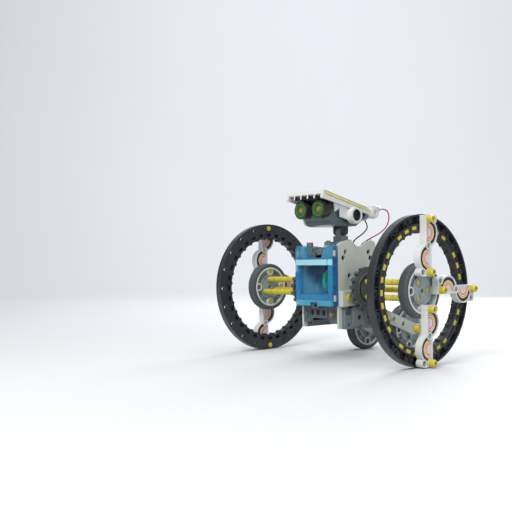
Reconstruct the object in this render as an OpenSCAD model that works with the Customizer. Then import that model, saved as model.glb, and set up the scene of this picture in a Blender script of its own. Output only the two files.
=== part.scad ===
// Solar powered robot that rolls on two large ring wheels and two small tail wheels.
// Frame: origin on the ground under the wheel axle, +X to the robot's left, -Y to its front, +Z up.

/* [Ring wheels] */
// Outer radius of a ring wheel
ring_r = 60; // [55:0.5:65]
// Inner radius of a ring wheel
ring_in = 46.5; // [44:0.5:48]
// Width of a ring wheel
ring_w = 6; // [5:0.5:7]
// Distance from the middle to the outward face of a ring wheel
track = 94; // [90:0.5:98]
// Pitch radius of the ring's peg holes
hole_pcr = 56; // [55.5:0.5:56.5]
// Radius of a peg hole
peg_hole = 2.25; // [2.2:0.05:2.3]

/* [Small wheels] */
// Tyre radius
tyre_r = 22; // [21:0.5:23]
// Tyre width
tyre_w = 8; // [7:0.5:8]
// Rim radius
rim_r = 18.5; // [18:0.5:19]
// Pitch radius of the four rim bosses
boss_pcr = 14.5; // [14.5:0.5:14.5]
// Bore of a small wheel, radius
bore_r = 2.1; // [2.1:0.05:2.15]
// Tail wheels: distance from the middle
tail_x = 24.7; // [24.5:0.1:25]
// Tail wheels: distance behind the main axle
tail_y = 65; // [63:0.5:68]

/* [Arms and rods] */
// Depth of an arm
arm_d = 6; // [5:0.5:6]
// Head radius of a peg
peg_head = 2.85; // [2.7:0.05:3]
// Pitch radius of the three drive rods
rod_pcr = 7.3; // [7:0.1:7.5]
// Rod radius
rod_r = 2.5; // [2.3:0.1:2.6]

/* [Gearbox] */
// Outer face of a side plate, from the middle
plate_x = 22; // [22:0.5:23]
// Thickness of a side plate
plate_t = 2; // [1.5:0.1:2.2]
// Height of the main axle
axle_z = 60; // [60:0.5:60]
// Axle radius
axle_r = 2; // [1.8:0.1:2]
// Radius of the outer drive gear over its teeth
drive_r = 18.9; // [18:0.1:20]
// Teeth on the outer drive gear
drive_n = 17; // [15:1:19]
// Gear module inside the gearbox
gm = 0.8; // [0.8:0.1:0.8]

/* [Head] */
// Slope of the solar panel, degrees
slope = 13.8; // [12:0.1:15]
// Height of the head's tilt pin
tilt_z = 110; // [109:0.5:111]
// Distance of the tilt pin behind the main axle
tilt_y = 7; // [6:0.5:8]
// Half the distance between the eyes
eye_x = 10.5; // [10:0.1:11]

/* [Hidden] */
$fn = 64;
in_x = plate_x - plate_t;
eye_z = 127.8;
hub_x = track - tyre_w / 2;
idler_y = -12;
idler_z = axle_z + 7.2;
motor_y = -8.2;
motor_z = idler_z + 12.2;
ivory = [0.87, 0.85, 0.78];
white = [0.93, 0.93, 0.91];
grey = [0.45, 0.47, 0.48];
dark = [0.12, 0.13, 0.14];
yellow = [0.85, 0.72, 0.12];
// routes of the two free wires
red_path = [[20, 35.35, 129.65], [20.1, 36.9, 129.3], [20.7, 40.4, 129.5], [21.3, 43.8, 128.6],
    [21.7, 46, 126],
    [21.7, 46.9, 122.2], [21, 46.4, 117.8], [19.8, 44.2, 113], [17.6, 38, 108], [14.6, 29.6, 103.6],
    [12.6, 23.4, 100], [12.1, 20.8, 98], [12, 20.2, 96.1]];
black_path = [[14.6, 22.4, 119.6], [15.2, 24.2, 116.4], [15.4, 24.6, 112.8], [14.4, 22.2, 109.2],
    [12.8, 18.4, 106], [11, 14.4, 103], [9.6, 12.2, 99.6], [9.2, 11.6, 94.8]];

// ---------- helpers ----------
module xc(x0, x1, y, z, r) translate([x0, y, z]) rotate([0, 90, 0]) cylinder(r = r, h = x1 - x0);
module yc(y0, y1, x, z, r) translate([x, y0, z]) rotate([-90, 0, 0]) cylinder(r = r, h = y1 - y0);
module zc(z0, z1, x, y, r) translate([x, y, z0]) cylinder(r = r, h = z1 - z0);
module bx(x0, x1, y0, y1, z0, z1) translate([x0, y0, z0]) cube([x1 - x0, y1 - y0, z1 - z0]);
// outline in (y, z), thick along x
module side(x0, x1) translate([x0, 0, 0]) rotate([90, 0, 90]) linear_extrude(height = x1 - x0) children();
// outline in (x, z), thick along y
module face(y0, y1) translate([0, y1, 0]) rotate([90, 0, 0]) linear_extrude(height = y1 - y0) children();
// wheel frame: local z along +X, local x along +Y, local y along +Z, at the main axle
module axle_frame(x) translate([x, 0, axle_z]) rotate([90, 0, 90]) children();
module on_side(s) if (s > 0) children(); else mirror([1, 0, 0]) children();
module slot2(w, r) { translate([-w / 2, 0]) circle(r = r); translate([w / 2, 0]) circle(r = r);
    translate([-w / 2, -r]) square([w, 2 * r]); }

// involute spur gear outline with a little backlash
function inv_pt(rb, t) = rb * [cos(t) + t * PI / 180 * sin(t), sin(t) - t * PI / 180 * cos(t)];
function roll(rb, r) = sqrt(max(0, (r / rb) * (r / rb) - 1)) * 180 / PI;
function pol(p) = [norm(p), atan2(p[1], p[0])];
function turn(r, a) = r * [cos(a), sin(a)];
function inv_a(rb, r) = pol(inv_pt(rb, roll(rb, r)))[1];
module spur(n, h, lash = 0.31) {
    rp = gm * n / 2;
    rb = rp * cos(25);
    ro = rp + 0.68 * gm;
    rr = rp - 0.98 * gm;
    half = 90 / n - lash / rp * 90 / PI + inv_a(rb, rp);
    rs = max(rb, rr);
    st = [for (i = [0 : 4]) rs + (ro - rs) * i / 4];
    pts = [for (k = [0 : n - 1]) each concat(
        [turn(rr, 360 / n * k - half)],
        [for (r = st) turn(r, 360 / n * k - half + inv_a(rb, r))],
        [for (i = [4 : -1 : 0]) turn(st[i], 360 / n * k + half - inv_a(rb, st[i]))],
        [turn(rr, 360 / n * k + half)])];
    linear_extrude(height = h) polygon(pts);
}

// swept tube along points
function unit(v) = v / norm(v);
function cr(p, i, t) = let (a = p[max(i - 1, 0)], b = p[i], c = p[i + 1], d = p[min(i + 2, len(p) - 1)])
    0.5 * (2 * b + (c - a) * t + (2 * a - 5 * b + 4 * c - d) * t * t + (3 * b - a - 3 * c + d) * t * t * t);
function smooth(p, m) = concat([for (i = [0 : len(p) - 2]) for (j = [0 : m - 1]) cr(p, i, j / m)],
    [p[len(p) - 1]]);
module tube(p, r, sides = 8) {
    n = len(p);
    tan = [for (i = [0 : n - 1]) unit(p[min(i + 1, n - 1)] - p[max(i - 1, 0)])];
    pts = [for (i = [0 : n - 1]) let (a = unit(cross(tan[i], [1, 0.35, 0])), b = cross(tan[i], a))
        for (j = [0 : sides - 1]) p[i] + r * (a * cos(360 * j / sides) + b * sin(360 * j / sides))];
    tri = [for (i = [0 : n - 2]) for (j = [0 : sides - 1])
        let (a = i * sides + j, b = i * sides + (j + 1) % sides,
        c = a + sides, d = b + sides) each [[a, c, b], [b, c, d]]];
    caps = [[for (j = [0 : sides - 1]) j], [for (j = [sides - 1 : -1 : 0]) (n - 1) * sides + j]];
    polyhedron(pts, concat(tri, caps), convexity = 6);
}

// ---------- wheels ----------
// ring wheel, body side at local z = 0, outward side at ring_w
module ring() {
    difference() {
        union() {
            difference() {
                cylinder(r = ring_r, h = ring_w, $fn = 160);
                translate([0, 0, -1]) cylinder(r = ring_in, h = ring_w + 2, $fn = 160);
                translate([0, 0, 1.6]) difference() {
                    cylinder(r = ring_r - 1.5, h = ring_w, $fn = 160);
                    translate([0, 0, -1]) cylinder(r = 52.4, h = ring_w + 2, $fn = 160);
                }
                // groove beside the inner band
                translate([0, 0, ring_w - 0.8]) difference() {
                    cylinder(r = 51.4, h = 2, $fn = 160);
                    translate([0, 0, -1]) cylinder(r = 48, h = 4, $fn = 160);
                }
            }
            for (i = [0 : 19]) rotate(18 * i) translate([hole_pcr, 0, 1])
                cylinder(r = 3.1, h = ring_w - 2.2, $fn = 32);
            for (i = [0 : 39]) rotate(9 * i + 4.5) translate([52.2, -0.4, 1])
                cube([6.6, 0.8, ring_w - 2.4]);
            for (i = [0 : 31]) rotate(11.25 * i + 5.625) translate([ring_in + 0.2, 0, 0.7])
                cylinder(r = 1.7, h = ring_w - 1.4, $fn = 24);
        }
        for (i = [0 : 19]) rotate(18 * i) translate([hole_pcr, 0, -1])
            cylinder(r = peg_hole, h = ring_w + 2, $fn = 32);
        // windows on the body side, pockets with a thin floor on the outward side
        for (i = [0 : 31]) rotate(11.25 * i) translate([49.7, 0, 1.3]) cube([2.9, 5, 2.7], center = true);
        for (i = [0 : 31]) rotate(11.25 * i) translate([49.7, 0, 0]) cube([2.9, 5, 2.7], center = true);
        for (i = [0 : 31]) if (i % 8 != 4) rotate(11.25 * i) translate([49.7, 0, 5.5])
            cube([2.7, 4.6, 3.4], center = true);
    }
}
module ring_blocks() for (i = [0 : 31]) if (i % 8 != 4)
    rotate(11.25 * i) translate([49.7, 0, 4.9]) cube([2.6, 4.5, 2.1], center = true);

// small wheel, centred on local z = 0; a = angle of the first rod hole
module hub(a = 0) {
    difference() {
        union() {
            difference() {
                translate([0, 0, -tyre_w / 2]) cylinder(r = rim_r - 0.05, h = tyre_w, $fn = 96);
                translate([0, 0, -tyre_w / 2 - 1]) cylinder(r = 16.9, h = tyre_w + 2, $fn = 96);
            }
            translate([0, 0, -1]) cylinder(r = 17, h = 2, $fn = 96);
            difference() {
                translate([0, 0, -2.9]) cylinder(r = 11.6, h = 5.8, $fn = 64);
                for (s = [0, 1]) mirror([0, 0, s]) translate([0, 0, 2.1]) cylinder(r = 10.7, h = 4,
                    $fn = 64);
            }
            for (i = [0 : 3]) rotate(90 * i) translate([boss_pcr, 0, -3.5])
                cylinder(r = 3.7, h = 7, $fn = 40);
            for (i = [0 : 3]) rotate(90 * i + 45) translate([11.2, -0.6, -2.2]) cube([6, 1.2, 4.4]);
            translate([0, 0, -3]) cylinder(r = 3.6, h = 6, $fn = 40);
            for (i = [0 : 2]) rotate(a + 120 * i) translate([rod_pcr, 0, -3])
                cylinder(r = 3, h = 6, $fn = 40);
        }
        for (i = [0 : 3]) rotate(90 * i) translate([boss_pcr, 0, -9]) cylinder(r = peg_hole + 0.15,
            h = 18, $fn = 40);
        for (i = [0 : 2]) rotate(a + 120 * i) translate([rod_pcr, 0, -9])
            cylinder(r = peg_hole, h = 18, $fn = 40);
        translate([0, 0, -9]) cylinder(r = bore_r, h = 18, $fn = 40);
    }
}
module tyre() rotate_extrude($fn = 128) polygon([[rim_r, -4], [20.9, -4], [21.7, -3.6], [22, -2.8],
    [22, -1.4],
    [21.6, -1.1], [21.6, -0.5], [22, -0.2], [22, 0.2], [21.6, 0.5], [21.6, 1.1], [22, 1.4], [22, 2.8],
    [21.7, 3.6], [20.9, 4], [rim_r, 4]]);
module hub_at(s) axle_frame(s > 0 ? hub_x : -hub_x) hub(s > 0 ? 0 : -24);

// ---------- arms ----------
// one D-shaped half, spanning r = 35.25 to 56, bulging to local +x
module lobe(w) {
    intersection() {
        translate([0.2, 45.4]) circle(r = 11.2 - w, $fn = 72);
        translate([-3.2 + w, 30]) square([20, 32]);
    }
    translate([-3.2 + w, 50]) square([3.2 - w + 7.4, 9.2 - w]);
}
module arm() {
    difference() {
        union() for (k = [0, 1]) translate([0, 35.25 * 2 * k]) rotate(180 * k) {
            translate([0, 0, -2.1]) linear_extrude(height = 4.2) lobe(0);
            translate([0, 0, -arm_d / 2]) linear_extrude(height = arm_d) difference()
                { lobe(0); lobe(1.05); }
            for (p = [[0, 56], [7.4, 55.9]]) translate([p[0], p[1], -arm_d / 2]) cylinder(r = 3.3,
                h = arm_d, $fn = 40);
            translate([0, 35.25, -arm_d / 2]) cylinder(r = 3.3, h = arm_d, $fn = 40);
        }
        for (p = [[0, 56], [7.4, 55.9], [0, 35.25], [0, 14.5], [-7.4, 14.6]])
            translate([p[0], p[1], -9]) cylinder(r = peg_hole, h = 18, $fn = 40);
    }
}
// printed half discs in the two halves, on both faces of the web
module arm_disc() for (k = [0, 1]) translate([0, 35.25 * 2 * k]) rotate(180 * k) for (s = [0, 1])
    mirror([0, 0, s])
    difference() {
        translate([0, 0, 2.1]) linear_extrude(height = 0.3) intersection() {
            translate([0.2, 45.4]) circle(r = 9.8, $fn = 64);
            translate([-1.6, 30]) square([20, 30]);
        }
        for (p = [[0, 56], [7.4, 55.9], [0, 35.25]]) translate([p[0], p[1],
            -9]) cylinder(r = 3.6, h = 18, $fn = 40);
    }
// the arms of a wheel, a = 0 top, 270 rear, 180 bottom, seen from +X and turning anticlockwise
module arm_at(s, a) axle_frame(s * (track + arm_d / 2)) rotate(a) arm();
module arm_discs(s) for (a = [0, 180, 270]) axle_frame(s * (track + arm_d / 2)) rotate(a) arm_disc();
module pegs(s) for (a = [0, 180, 270]) for (r = [hole_pcr, boss_pcr]) on_side(s) axle_frame(0)
    rotate(a) translate([0, r, 0]) {
    translate([0, 0, track - ring_w - (r > 20 ? 0.4 : 1.2)]) cylinder(r = 2.2, h = arm_d + ring_w + 2,
        $fn = 32);
    difference() {
        union() {
            translate([0, 0, track + arm_d]) cylinder(r = peg_head, h = 3.8, $fn = 32);
            translate([0, 0, track + arm_d + 3.8]) cylinder(r1 = peg_head, r2 = 2.3, h = 1, $fn = 32);
        }
        translate([0, 0, track + arm_d + 3.2]) cylinder(r = 1.3, h = 3, $fn = 24);
    }
}
module rods(s) axle_frame(0) for (i = [0 : 2]) rotate((s > 0 ? 0 : -24) + 120 * i)
    translate([rod_pcr, 0, 0]) mirror([0, 0, s > 0 ? 0 : 1]) {
    translate([0, 0, 33.5]) cylinder(r = 2.2, h = 6.6, $fn = 32);
    for (k = [0 : 4]) translate([0, 0, 40.1 + 9.3 * k]) cylinder(r = rod_r, h = 8.5, $fn = 32);
    translate([0, 0, 40.1]) cylinder(r = 1.9, h = 46.5, $fn = 32);
    translate([0, 0, 86.4]) cylinder(r = 2.2, h = 5.6, $fn = 32);
}
module drive_gear(s) on_side(s) axle_frame(33) rotate(4) difference() {
    union() {
        cylinder(r = 16.2, h = 5, $fn = 96);
        for (i = [0 : drive_n - 1]) rotate(360 / drive_n * i) intersection() {
            translate([15.4, -1.5, 0.3]) cube([6, 3, 4.4]);
            cylinder(r = drive_r, h = 6, $fn = 96);
        }
        translate([0, 0, 5]) difference() {
            cylinder(r = 14, h = 1.1, $fn = 64);
            translate([0, 0, -1]) cylinder(r = 12.4, h = 4, $fn = 64);
        }
        cylinder(r = 10.4, h = 6, $fn = 64);
        // sleeve that keeps the gear off the side plate
        translate([0, 0, -9.2]) cylinder(r = 4.4, h = 10, $fn = 48);
    }
    translate([0, 0, 3.6]) difference() { cylinder(r = 12.4, h = 9, $fn = 64); translate([0, 0, -1])
        cylinder(r = 10.4, h = 11, $fn = 64); }
    for (i = [0 : 2]) rotate((s > 0 ? 0 : -24) - 4 + 120 * i) translate([rod_pcr, 0, -1])
        cylinder(r = peg_hole, h = 12, $fn = 32);
    translate([0, 0, -11]) cylinder(r = axle_r + 0.03, h = 22, $fn = 32);
}

// ---------- gearbox ----------
module plate_outline(ear) polygon([[-20, 46], [-20, 96.4 + ear * 0.3], [-16, 96.8 + ear * 0.64],
    [-8, 96.8 + ear * 0.96],
    [-4, 96.8 + ear * 0.96], [4, 96.4], [10, 96.4],
    [17, 101], [25.5, 101], [27.5, 99], [27.5, 62], [24, 58.5], [24, 46]]);
// ear = height of the front ear
module side_plate(ear = 5) {
    difference() {
        union() {
            side(in_x, plate_x) plate_outline(ear);
            // raised lower step
            side(plate_x - 0.5, plate_x + 5) polygon([[-20, 46], [-20, 58.5], [-5.4, 58.5], [-5.4, 46]]);
            // leg beside the lower frame
            side(in_x, plate_x) polygon([[-20, 27], [-20, 46.5], [-8, 46.5], [-8, 44.6],
                [-15.8, 44.6], [-15.8, 27]]);
            // snap tabs for the clear cover
            for (z = [50.2, 88]) {
                bx(19.2, 20.45, -24.7, -18, z, z + 5);
                bx(19.2, plate_x + 0.5, -24.7, -23.5, z, z + 5);
                bx(20.3, plate_x + 0.5, -25.6, -23.5, z, z + 5);
            }
            zc(100.9, 102.3, in_x + 1, 22.5, 0.9);
            // bearing collar and rim
            xc(in_x - 1.5, plate_x + 1.4, 0, axle_z, 4.6);
            // front and rear edge flanges
            bx(in_x - 1.6, plate_x, 26, 27.5, 62, 99);
        }
        for (p = [[-10.7, 91.7], [-13.4, 86.6], [18.4, 91.6], [20.7, 86.3], [-6.1, 71.4], [17, 68]])
            xc(in_x - 1, plate_x + 2, p[0], p[1], peg_hole);
        xc(in_x - 3, plate_x + 3, 0, axle_z, axle_r + 0.05);
        xc(in_x - 1, plate_x + 6, -12.4, 53.2, peg_hole);
        xc(in_x - 1, plate_x + 2, 19, 53, peg_hole);
        // slit in the block under the plate
        bx(plate_x + 4.2, plate_x + 6, -7.6, -7, 45, 59);
    }
}
module core() difference() {
    union() {
        bx(-in_x, in_x, 23.5, 25.5, 47, 93);
        bx(-in_x, in_x, -18.5, 25.5, 46.2, 48);
        for (x = [-in_x, in_x - 4]) for (p = [[12, 78], [19, 53]]) xc(x, x + 4, p[0], p[1], 3.6);
        // cradle for the motor
        difference() {
            bx(-14, 2, 0.5, 24, 74, 84);
            xc(-20, 9, motor_y, motor_z, 10.15);
        }
        // small bearing wall near the idler
        bx(1.8, 3.6, -16, -5, 47.5, 63);
        bx(1.8, 3.6, -14, -10, 62, 69.2);
        bx(-18, -13, 6.5, 23.7, 62, 64);
    }
    xc(1, 5, idler_y, idler_z, 1.05);
    
    for (x = [-in_x, in_x - 4]) xc(x - 1, x + 5, 19, 53, 2.25);
    xc(1, 5, 0, axle_z, 5);
}
module top_deck() difference() {
    union() {
        bx(-in_x, in_x, -3, 22, 93.2, 95.2);
        bx(-7.5, 7.5, 0, 14, 95, 98);
        zc(95, 96.7, 12, 20, 1.9);
        bx(-16, -12, -3, 21, 91, 93.4);
        bx(12, 16, -3, 21, 91, 93.4);
    }
    bx(-13, 13, 17, 19, 92, 94);
    zc(95.4, 98, 12, 20.2, 1.1);
    zc(94.4, 98, 9.2, 11.6, 1);
}
module cover_outline(w) polygon([[-22 + w, 46 + w], [-22 + w, 96.2], [-20.6 + w, 97.6 - w],
    [-12 - w, 97.6 - w],
    [-8.4 - w, 87 - w], [8.4 + w, 87 - w], [12 + w, 97.6 - w], [20.6 - w, 97.6 - w], [22 - w, 96.2],
        [22 - w, 46 + w]]);
module front_cover() difference() {
    union() {
        difference() {
            face(-26.4, -20.1) cover_outline(0);
            difference() {
                face(-24.9, -19) cover_outline(1.4);
                bx(-16.8, 16.8, -25.4, -23.5, 55.7, 81);
            }
        }
        // raised frame bars, shelf, lower band and lip
        bx(-22, -17.2, -27.4, -26, 46, 96);
        bx(17.2, 22, -27.4, -26, 46, 96);
        bx(-17.4, 17.4, -29, -26, 80.6, 85.6);
        bx(-17.4, 17.4, -27.6, -26, 50.8, 56);
        bx(-21, 21, -27.9, -26, 46, 50.9);
        yc(-28.1, -26, -19.6, 71, 2.3);
    }
    // sunken window with a round boss moulded on it
    difference() {
        bx(-16, 16, -30, -24.6, 56.5, 80.2);
        yc(-25.8, -24, -1, 70.4, 4.6);
        yc(-25.4, -24, -12.5, 60.5, 1.6);
        yc(-25.4, -24, 12.5, 60.5, 1.6);
    }
    yc(-27, -25, -1, 70.4, 3.2);
    yc(-29, -27.2, -19.6, 71, 1.5);
    // slots for the snap tabs
    for (s = [-1, 1]) for (z = [50, 87.8]) bx(s > 0 ? 20.2 : -23, s > 0 ? 23 : -20.2, -25.7, -23.3, z,
        z + 5.4);
    // latch notch
    bx(-4, 5, -29, -24.6, 45, 49);
    bx(-4, 5, -29, -19, 45, 47.2);
}
module foot_gap(y0, y1) face(y0, y1) polygon([[-14, 30], [-9, 35], [9, 35], [14, 30]]);
module lower_frame() difference() {
    union() {
        difference() {
            bx(-in_x, in_x, -19.8, 14, 31, 46);
            bx(-in_x + 2, in_x - 2, -17.8, 12, 32.6, 47);
        }
        for (x = [-8, 6.8]) bx(x, x + 1.2, -18, 13, 32, 46);
        bx(-19, 19, -3.6, -2.4, 32, 46);
        for (x = [-13.5, -6.5, 0.5, 7.5]) bx(x, x + 1.6, -20.4, -19, 33, 45);
        bx(-in_x, in_x, -20.4, -19, 44.4, 45.8);
        yc(-21.2, -19, 15, 38.5, 3.4);
        yc(-21.2, -19, -16.5, 38.5, 2.8);
        // latch tongue of the cover
        bx(-3.4, 4.4, -26.2, -19, 44.2, 46);
        bx(-3.4, 4.4, -26.2, -24.8, 44.2, 48.4);
    }
    // trapezoid cut at the bottom front
    foot_gap(-22, 15);
    for (x = [-11, -4, 3]) bx(x, x + 3, -22, -17, 37.5, 42);
    yc(-22, -15, 15, 38.5, 1.6);
    bx(-1.4, 2.4, -27, -24, 45.2, 47.2);
}
module motor_can() union() {
    intersection() {
        xc(-17, 1.6, motor_y, motor_z, 10);
        bx(-17, 1.6, motor_y - 7.6, motor_y + 10, motor_z - 10, motor_z + 10);
    }
    xc(1.6, 2.6, motor_y, motor_z, 3);
}
// end cap and the boss that stands above the cover
module motor_cap() difference() {
    union() {
        bx(-19.6, -17, motor_y - 8, motor_y + 10, motor_z - 9, motor_z + 9);
        bx(-19, 8, -17.4, -9, 89.6, 91.7);
        bx(-13.4, 5, -17, -9.8, 91.6, 94.4);
        bx(-18, -9, -19.9, -12, 89.6, 95.4);
        bx(-9, -6, -19.6, -17, 82, 91.6);
        bx(2, 5, -19.6, -17, 82, 91.6);
        zc(95.3, 100.4, -14.4, -16.9, 2.9);
        yc(-19.8, -16.5, 0, 92, 2.5);
    }
    zc(97, 101, -14.4, -16.9, 1.5);
    xc(-21, -16, motor_y, motor_z, 3);
}
module idler_pin() xc(2, in_x, idler_y, idler_z, 1);
module frame_screws() {
    yc(-22.3, -16, 15, 38.5, 1.5);
    yc(-22.1, -21.2, 15, 38.5, 1.9);
    for (s = [-1, 1]) for (p = [[17, 68]]) on_side(s) {
        xc(in_x + 0.05, plate_x + 0.6, p[0], p[1], 2.1);
    }
}
module frame_pegs() for (s = [-1, 1]) on_side(s) {
    xc(in_x, plate_x + 7, -12.4, 53.2, 2.2);
    xc(plate_x + 5.05, plate_x + 7, -12.4, 53.2, peg_head);
}
// block behind the gearbox that carries the tail
module tail_bracket() difference() {
    union() {
        bx(-32.8, 32.8, 17, 26, 32, 43.5);
        bx(-in_x, in_x, 14.2, 26, 31, 46);
        for (s = [-1, 1]) on_side(s) {
            bx(20.4, 25, -15.4, 18, 26.5, 44);
            bx(20.4, 27.2, -7, 20, 29, 45.6);
            bx(26, 32.6, 12, 22, 28, 43.5);
            bx(25, 27.5, 4, 22, 26, 45.6);
            xc(27.4, 29, 10, 36.6, 4.4);
            xc(32, 32.9, 21.5, 38, 4.4);
        }
    }
    for (s = [-1, 1]) on_side(s) {
        xc(24, 40, 21.5, 38, peg_hole);
        bx(22.6, 28, -14.4, -8, 38.4, 44.5);
        xc(20.3, 26, -11, 30, 1.3);
        xc(23, 30, 0, 36, 2.1);
        xc(26, 30, 10, 36.6, 2.4);
        bx(19, 30, -20, -5.3, 44.5, 50);
    }
    bx(-9, 9, 13, 27, 36, 47);
    foot_gap(13, 28);
}
module tail_plates() for (s = [-1, 1]) on_side(s) difference() {
    union() {
        side(15.6, 17.6) polygon([[26.1, 33], [26.1, 45.5], [31, 45.5], [69, 27], [70.5, 22],
            [67, 17], [61, 16.5], [34, 28]]);
        xc(15.6, 19.8, tail_y, tyre_r, 4.2);
    }
    xc(14, 24, tail_y, tyre_r, 2.08);
    side(14, 24) translate([43, 33]) rotate(-26) slot2(11, 2.6);
}
module tail_arm() difference() {
    union() {
        side(33, 35.4) {
            polygon([[19, 42.2], [23.5, 42.2], [67, 26.2], [67, 18], [62, 17.6], [19, 33.6]]);
            translate([21.5, 38]) circle(r = 4.4);
            translate([tail_y, tyre_r]) circle(r = 4.4);
        }
        for (p = [[34.5, 32.8], [47.5, 27.8]]) xc(32.4, 36, p[0], p[1], 3.4);
        xc(32.2, 35.4, tail_y, tyre_r, 4.4);
    }
    for (p = [[21.5, 38], [34.5, 32.8], [47.5, 27.8]]) xc(30, 40, p[0], p[1], peg_hole);
    xc(30, 40, tail_y, tyre_r, 2.08);
}
module tail_axle() xc(-36.4, 36.4, tail_y, tyre_r, 2.05);
module tail_pegs() for (s = [-1, 1]) on_side(s) {
    xc(26, 39.4, 21.5, 38, 2.2);
    xc(35.5, 39.4, 21.5, 38, peg_head);
    difference() { xc(35.5, 40.6, tail_y, tyre_r, 3.2); xc(35, 36.5, tail_y, tyre_r, 2.1); }
    difference() { xc(29.2, 32.1, tail_y, tyre_r, 3.2); xc(29, 33, tail_y, tyre_r, 2.1); }
}
// drive train inside
module drive_axle() xc(-39.4, 39.4, 0, axle_z, axle_r);
module output_gear() axle_frame(8.2) difference() {
    union() { spur(25, 4); cylinder(r = 4, h = 6); }
    translate([0, 0, -3]) cylinder(r = axle_r + 0.03, h = 12);
}
mesh_a = atan2(idler_z - axle_z, idler_y);
module idler_gear() translate([0, idler_y, idler_z]) rotate([90, 0, 90]) difference() {
    union() {
        translate([0, 0, 4.5]) rotate(mesh_b) spur(24, 3);
        translate([0, 0, 7.3]) rotate(mesh_c) spur(10, 5.2);
        translate([0, 0, 3.9]) cylinder(r = 2.6, h = 9.4);
    }
    translate([0, 0, 2]) cylinder(r = 1.06, h = 14, $fn = 32);
    for (i = [0 : 3]) rotate(90 * i - 45) translate([6.6, 0, 3]) cylinder(r = 1.6, h = 8, $fn = 32);
}
// tooth phases that put the three gears in mesh at rest
mesh_c = mesh_a * 3.5 + 162;
mesh_d = atan2(motor_z - idler_z, motor_y - idler_y);
mesh_b = mesh_d;
module motor_pinion() translate([0, motor_y, motor_z]) rotate([90, 0, 90]) union() {
    translate([0, 0, 4.3]) rotate(mesh_d + 180 + 22.5) spur(8, 3.4);
    translate([0, 0, 2.65]) cylinder(r = 1, h = 5.6, $fn = 32);
}

// ---------- head ----------
module slope_frame() translate([0, -36, 141]) rotate([-slope, 0, 0]) children();
module neck_post() difference() {
    union() {
        bx(-6, 6, 1.5, 12.5, 98.05, 100.4);
        bx(-5.4, 5.4, 3.2, 10.8, 100, 105.9);
        side(-2.8, 2.8) polygon([[3.6, 105], [10.4, 105], [10.4, tilt_z], [3.6, tilt_z]]);
        xc(-2.8, 2.8, tilt_y, tilt_z, 3.4);
        bx(-12, -4, -1.5, 4, 98.05, 101);
        zc(100.9, 102.2, -9.4, 1, 2);
        bx(4, 8.5, 6.5, 11.5, 98.05, 102.5);
    }
    xc(-7, 7, tilt_y, tilt_z, 1.55);
    zc(98.4, 104, -9.4, 1, 1.1);
}
module neck_knuckle() union() {
    for (s = [-1, 1]) on_side(s) {
        xc(3.1, 5.6, tilt_y, tilt_z, 3.7);
        bx(3.1, 5.6, tilt_y - 3.7, tilt_y + 3.7, tilt_z, 113.85);
        xc(5.5, 6.3, tilt_y, tilt_z, 2.3);
    }
    xc(-5.8, 5.8, tilt_y, tilt_z, 1.5);
}
module shell_outline(w) polygon([[-24 + w, 133.9], [-24 + w, 121], [-19 + w, 115 + w], [-14, 114 + w],
    [8, 114 + w],
    [15 - w, 118], [20 - w, 122.4], [20 - w, 123.1]]);
module head_shell() difference() {
    union() {
        side(-17, 17) shell_outline(0);
        // ribs on the jaw
        for (z = [117.5]) side(-17.6, 17.6) polygon([[-21.6, z], [-20, z - 2], [10, z - 2], [13, z]]);
        bx(-7.6, 7.6, 0, 13, 113.9, 115);
        for (s = [-1, 1]) yc(-25, -20, s * eye_x, eye_z, 5.95);
    }
    for (s = [-1, 1]) yc(-26, -18.6, s * eye_x, eye_z, 5.6);
    // hollow under the panel
    for (x = [-15.5, 1]) side(x, x + 14.5) polygon([[-13, 126.5], [-13, 140], [17, 140], [17, 123.6],
        [12, 118.5], [-13, 118.5]]);
}
module visor() difference() {
    union() {
        slope_frame() {
            bx(-21.6, 21.6, 1, 58, -3, -1.4);
            for (s = [-1, 1]) on_side(s) {
                side(20.2, 22) polygon([[0, -4.6], [34, -4.2], [58.6, -2.4], [58.6, -0.9], [0, -0.9]]);
                bx(20.2, 21.2, 0, 58.6, -1, -0.05);
                side(18.6, 20.4) polygon([[15, -2], [19, -11], [23, -6.5], [26, -14], [43, -14],
                    [47, -6], [53, -3], [53, -2]]);
            }
            bx(-22, 22, -0.6, 2.4, -4.6, -0.05);
            bx(-22, 22, -0.6, 0.55, -2, 1.9);
            bx(-22, 22, 57, 58.6, -3.6, -0.05);
        }
    }
    // comb slots under the front edge
    slope_frame() for (i = [0 : 4]) bx(-19.4 + 8 * i, -12.6 + 8 * i, -2, 6, -7, -1);
}
module panel_board() slope_frame() bx(-22, 22, 0.6, 58.2, 0, 1.9);
module solar_cells() slope_frame() bx(-21, 21, 2, 57, 1.9, 2.7);
module eye_barrels() for (s = [-1, 1]) difference() {
    union() {
        for (k = [0 : 4]) yc(-31.4 + k * 1.1, -30.8 + k * 1.1, s * eye_x, eye_z, 7.6);
        yc(-31.4, -25.05, s * eye_x, eye_z, 7);
        yc(-25.1, -19.2, s * eye_x, eye_z, 5.5);
    }
    yc(-32, -29.2, s * eye_x, eye_z, 6.6);
}
module eye_lenses() for (s = [-1, 1]) difference() {
    yc(-31.6, -29.2, s * eye_x, eye_z, 6.5);
    yc(-33, -30.4, s * eye_x, eye_z, 4.4);
}
module eye_cores() for (s = [-1, 1]) {
    yc(-30.9, -30.42, s * eye_x, eye_z, 4.3);
    translate([s * eye_x, -30.6, eye_z]) intersection() {
        translate([0, 3.2, 0]) sphere(r = 4.4);
        yc(-3, 0.15, 0, 0, 3);
    }
}
module side_caps() for (s = [-1, 1]) on_side(s) difference() {
    union() { xc(20.45, 25.4, 0, 122.8, 7.3); xc(25.3, 26, 0, 122.8, 6.7); }
    xc(22, 27, 0, 122.8, 5);
    slope_frame() bx(18, 22.3, 0, 60, -4.65, 5);
}
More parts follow.
